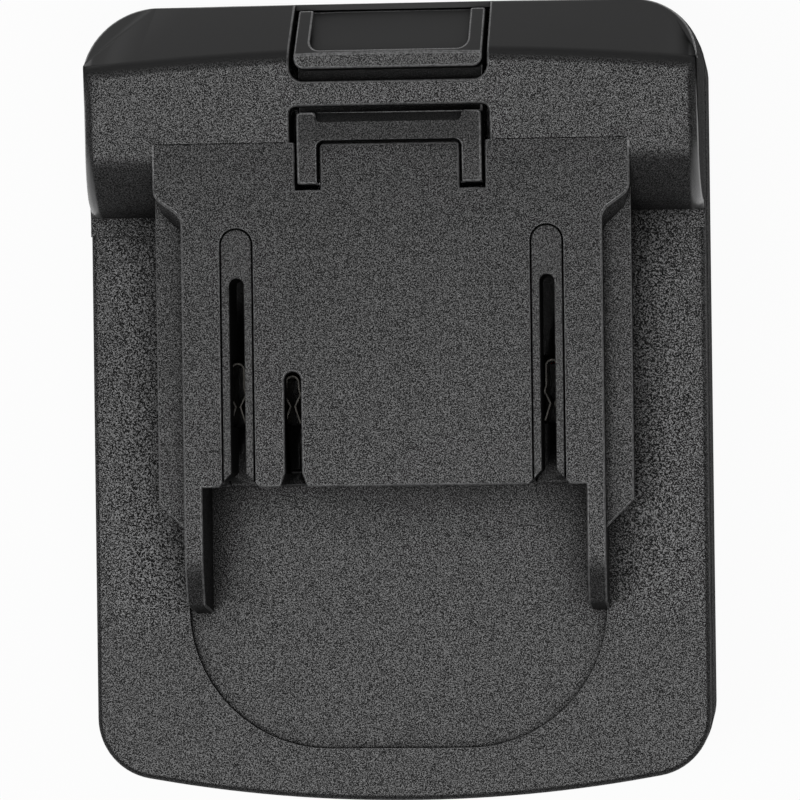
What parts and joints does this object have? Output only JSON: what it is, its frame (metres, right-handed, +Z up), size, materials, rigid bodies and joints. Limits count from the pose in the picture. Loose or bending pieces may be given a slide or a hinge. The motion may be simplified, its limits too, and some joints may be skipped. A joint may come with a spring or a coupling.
{
  "type": "tool battery adapter",
  "caption": "Slide-on battery adapter: flanged tool rail with terminal slots and a sprung release latch on top, and a slide-in battery channel with blade terminals underneath.",
  "frame": {"origin": "under the middle of the part, on the plane that the lower lips stand on", "axes": "+Z up towards the tool side, +Y from the tail to the latch head, +X to the right seen from above with the head away from the viewer"},
  "size_m": [0.075, 0.0966, 0.0368],
  "materials": {
    "housing_plastic": "fine spark-eroded grain, smooth on the front slope",
    "latch_plastic": "satin",
    "block_plastic": "satin",
    "insulator_plastic": "satin",
    "spring_steel": "drawn wire",
    "nickel_plate": "bright plated sheet",
    "screw_steel": "zinc plated",
    "red_insulation": "soft wire insulation",
    "black_insulation": "soft wire insulation",
    "yellow_insulation": "soft wire insulation"
  },
  "bodies": {
    "housing": {"upper_housing": "housing_plastic", "lower_housing": "housing_plastic", "latch_spring_left": "spring_steel", "latch_spring_right": "spring_steel", "terminal_block": "block_plastic", "clip_retainer": "insulator_plastic", "positive_clip": "nickel_plate", "negative_clip": "nickel_plate", "signal_clip": "nickel_plate", "block_screws": "screw_steel", "blade_holder": "insulator_plastic", "positive_blade": "nickel_plate", "negative_blade": "nickel_plate", "signal_blade": "nickel_plate", "holder_screws": "screw_steel", "positive_wire": "red_insulation", "negative_wire": "black_insulation", "signal_wire": "yellow_insulation", "case_screws": "screw_steel"},
    "latch": {"release_latch": "latch_plastic"}
  },
  "joints": [
    {"name": "latch_press", "type": "slide", "parent": "housing", "child": "latch", "axis": [0, 0, -1], "range_m": [0, 0.0035], "stiffness_N_per_m": 2000, "springref_m": -0.002, "deforming": ["latch_spring_left", "latch_spring_right"]}
  ]
}
